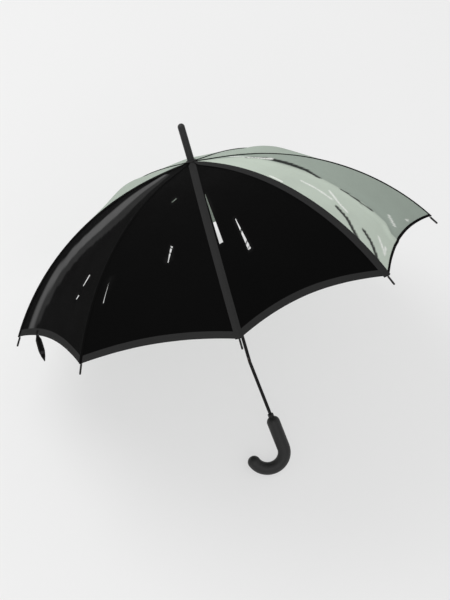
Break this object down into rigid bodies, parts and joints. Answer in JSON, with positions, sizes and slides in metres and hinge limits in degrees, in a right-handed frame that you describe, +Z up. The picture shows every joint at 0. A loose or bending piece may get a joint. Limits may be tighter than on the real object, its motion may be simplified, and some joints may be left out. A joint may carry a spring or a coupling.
{
  "type": "broken stick umbrella",
  "caption": "Open stick umbrella with a crook handle, folding rib frame, bent shaft and torn two-colour cloth.",
  "frame": {"origin": "middle of the footprint, on the ground", "axes": "+Z up; the shaft lies in the XZ plane and rises toward +X, where the ferrule points; +Y is across the canopy"},
  "size_m": [0.721, 0.9626, 0.7287],
  "materials": {
    "black_cloth": "satin",
    "sage_cloth": "satin",
    "tape": "matt ribbed",
    "rib_steel": "grey plated",
    "rivet_steel": "bright",
    "shaft_paint": "gloss black",
    "tip_plastic": "matt",
    "hub_plastic": "matt",
    "handle_plastic": "satin",
    "ferrule_plastic": "satin",
    "strap_cloth": "satin",
    "spring_steel": "plain"
  },
  "bodies": {
    "shaft": {"shaft": "shaft_paint", "ferrule": "ferrule_plastic", "top_cap": "tape", "crown": "hub_plastic", "crown_wire": "rivet_steel", "stop_pin": "spring_steel", "handle_collar": "hub_plastic", "handle": "handle_plastic"},
    "runner": {"runner": "hub_plastic"},
    "top_catch": {"top_catch": "spring_steel"},
    "bottom_catch": {"bottom_catch": "spring_steel"},
    "rib_1": {"rib_1": "rib_steel", "rib_tip_1": "tip_plastic", "rivet_1": "rivet_steel", "gore_1": "black_cloth", "tape_1": "tape"},
    "stretcher_1": {"stretcher_1": "rib_steel"},
    "rib_2": {"rib_2": "rib_steel", "rib_tip_2": "tip_plastic", "rivet_2": "rivet_steel", "gore_2": "sage_cloth", "tape_2": "tape"},
    "stretcher_2": {"stretcher_2": "rib_steel"},
    "rib_3": {"rib_3": "rib_steel", "rib_tip_3": "tip_plastic", "rivet_3": "rivet_steel", "gore_3": "sage_cloth"},
    "stretcher_3": {"stretcher_3": "rib_steel"},
    "rib_4": {"rib_4": "rib_steel", "rib_tip_4": "tip_plastic", "rivet_4": "rivet_steel", "gore_4": "sage_cloth"},
    "stretcher_4": {"stretcher_4": "rib_steel"},
    "rib_5": {"rib_5": "rib_steel", "rib_tip_5": "tip_plastic", "rivet_5": "rivet_steel", "gore_5": "sage_cloth"},
    "stretcher_5": {"stretcher_5": "rib_steel"},
    "rib_6": {"rib_6": "rib_steel", "rib_tip_6": "tip_plastic", "rivet_6": "rivet_steel", "gore_6": "sage_cloth"},
    "stretcher_6": {"stretcher_6": "rib_steel"},
    "rib_7": {"rib_7": "rib_steel", "rib_tip_7": "tip_plastic", "rivet_7": "rivet_steel", "gore_7": "black_cloth", "tape_7": "tape", "strap": "strap_cloth", "strap_snap": "rivet_steel"},
    "stretcher_7": {"stretcher_7": "rib_steel"},
    "rib_8": {"rib_8": "rib_steel", "rib_tip_8": "tip_plastic", "rivet_8": "rivet_steel", "gore_8": "black_cloth"},
    "stretcher_8": {"stretcher_8": "rib_steel"}
  },
  "joints": [
    {"name": "runner_slide", "type": "slide", "parent": "shaft", "child": "runner", "axis": [-0.7274, 0, -0.6863], "range_m": [0, 0.1417], "deforming": ["top_catch"]},
    {"name": "rib_fold_1", "type": "hinge", "parent": "shaft", "child": "rib_1", "pos_m": [0.20927, 0.00439, 0.56314], "axis": [-0.2736, -0.9171, 0.29], "range_deg": [0, 30.05], "deforming": ["gore_1"]},
    {"name": "stretcher_fold_1", "type": "hinge", "parent": "rib_1", "child": "stretcher_1", "pos_m": [0.03642, 0.09187, 0.67669], "axis": [0.2736, 0.9171, -0.29], "range_deg": [0, 40.57]},
    {"name": "rib_fold_2", "type": "hinge", "parent": "shaft", "child": "rib_2", "pos_m": [0.20914, -0.00394, 0.56328], "axis": [0.2459, -0.9336, -0.2607], "range_deg": [0, 30.05], "deforming": ["gore_2"]},
    {"name": "stretcher_fold_2", "type": "hinge", "parent": "rib_2", "child": "stretcher_2", "pos_m": [0.03381, -0.08257, 0.67946], "axis": [-0.2459, 0.9336, 0.2607], "range_deg": [0, 40.57]},
    {"name": "rib_fold_3", "type": "hinge", "parent": "shaft", "child": "rib_3", "pos_m": [0.2133, -0.01016, 0.55887], "axis": [0.634, -0.3827, -0.672], "range_deg": [0, 30.05], "deforming": ["gore_3"]},
    {"name": "stretcher_fold_3", "type": "hinge", "parent": "rib_3", "child": "stretcher_3", "pos_m": [0.12092, -0.21286, 0.58714], "axis": [-0.634, 0.3827, 0.672], "range_deg": [0, 40.57]},
    {"name": "rib_fold_4", "type": "hinge", "parent": "shaft", "child": "rib_4", "pos_m": [0.21908, -0.01016, 0.55275], "axis": [0.634, 0.3827, -0.672], "range_deg": [0, 30.05], "deforming": ["gore_4"]},
    {"name": "stretcher_fold_4", "type": "hinge", "parent": "rib_4", "child": "stretcher_4", "pos_m": [0.24193, -0.21286, 0.45888], "axis": [-0.634, -0.3827, 0.672], "range_deg": [0, 40.57]},
    {"name": "rib_fold_5", "type": "hinge", "parent": "shaft", "child": "rib_5", "pos_m": [0.22316, -0.00421, 0.54841], "axis": [0.2626, 0.9239, -0.2783], "range_deg": [0, 30.05], "deforming": ["gore_5"]},
    {"name": "stretcher_fold_5", "type": "hinge", "parent": "rib_5", "child": "stretcher_5", "pos_m": [0.3275, -0.08817, 0.36818], "axis": [-0.2626, -0.9239, 0.2783], "range_deg": [0, 40.57]},
    {"name": "rib_fold_6", "type": "hinge", "parent": "shaft", "child": "rib_6", "pos_m": [0.22316, 0.00421, 0.54841], "axis": [-0.2626, 0.9239, 0.2783], "range_deg": [0, 30.05], "deforming": ["gore_6"]},
    {"name": "stretcher_fold_6", "type": "hinge", "parent": "rib_6", "child": "stretcher_6", "pos_m": [0.3275, 0.08817, 0.36818], "axis": [0.2626, -0.9239, -0.2783], "range_deg": [0, 40.57]},
    {"name": "rib_fold_7", "type": "hinge", "parent": "shaft", "child": "rib_7", "pos_m": [0.21908, 0.01016, 0.55275], "axis": [-0.634, 0.3827, 0.672], "range_deg": [0, 30.05], "deforming": ["gore_7"]},
    {"name": "stretcher_fold_7", "type": "hinge", "parent": "rib_7", "child": "stretcher_7", "pos_m": [0.24193, 0.21286, 0.45888], "axis": [0.634, -0.3827, -0.672], "range_deg": [0, 40.57]},
    {"name": "rib_fold_8", "type": "hinge", "parent": "shaft", "child": "rib_8", "pos_m": [0.21342, 0.01023, 0.55874], "axis": [-0.6385, -0.3665, 0.6767], "range_deg": [0, 30.05], "deforming": ["gore_8"]},
    {"name": "stretcher_fold_8", "type": "hinge", "parent": "rib_8", "child": "stretcher_8", "pos_m": [0.12348, 0.21437, 0.58443], "axis": [0.6385, 0.3665, -0.6767], "range_deg": [0, 40.57]},
    {"name": "top_catch_press", "type": "hinge", "parent": "shaft", "child": "top_catch", "pos_m": [-0.04108, -0.0008, 0.3104], "axis": [-0.2626, -0.9239, 0.2783], "range_deg": [0, 8], "stiffness_Nm_per_rad": 0.8},
    {"name": "bottom_catch_press", "type": "hinge", "parent": "shaft", "child": "bottom_catch", "pos_m": [-0.25115, -0.01191, 0.11852], "axis": [-0.1982, -0.9204, 0.3371], "range_deg": [0, 8], "stiffness_Nm_per_rad": 0.8}
  ],
  "couplings": [
    {"joint": "rib_fold_1", "follows": "runner_slide", "rad_per_m": 3.6951},
    {"joint": "stretcher_fold_1", "follows": "runner_slide", "rad_per_m": 4.9914},
    {"joint": "rib_fold_2", "follows": "runner_slide", "rad_per_m": 3.6951},
    {"joint": "stretcher_fold_2", "follows": "runner_slide", "rad_per_m": 4.9914},
    {"joint": "rib_fold_3", "follows": "runner_slide", "rad_per_m": 3.6951},
    {"joint": "stretcher_fold_3", "follows": "runner_slide", "rad_per_m": 4.9914},
    {"joint": "rib_fold_4", "follows": "runner_slide", "rad_per_m": 3.6951},
    {"joint": "stretcher_fold_4", "follows": "runner_slide", "rad_per_m": 4.9914},
    {"joint": "rib_fold_5", "follows": "runner_slide", "rad_per_m": 3.6951},
    {"joint": "stretcher_fold_5", "follows": "runner_slide", "rad_per_m": 4.9914},
    {"joint": "rib_fold_6", "follows": "runner_slide", "rad_per_m": 3.6951},
    {"joint": "stretcher_fold_6", "follows": "runner_slide", "rad_per_m": 4.9914},
    {"joint": "rib_fold_7", "follows": "runner_slide", "rad_per_m": 3.6951},
    {"joint": "stretcher_fold_7", "follows": "runner_slide", "rad_per_m": 4.9914},
    {"joint": "rib_fold_8", "follows": "runner_slide", "rad_per_m": 3.6951},
    {"joint": "stretcher_fold_8", "follows": "runner_slide", "rad_per_m": 4.9914}
  ]
}
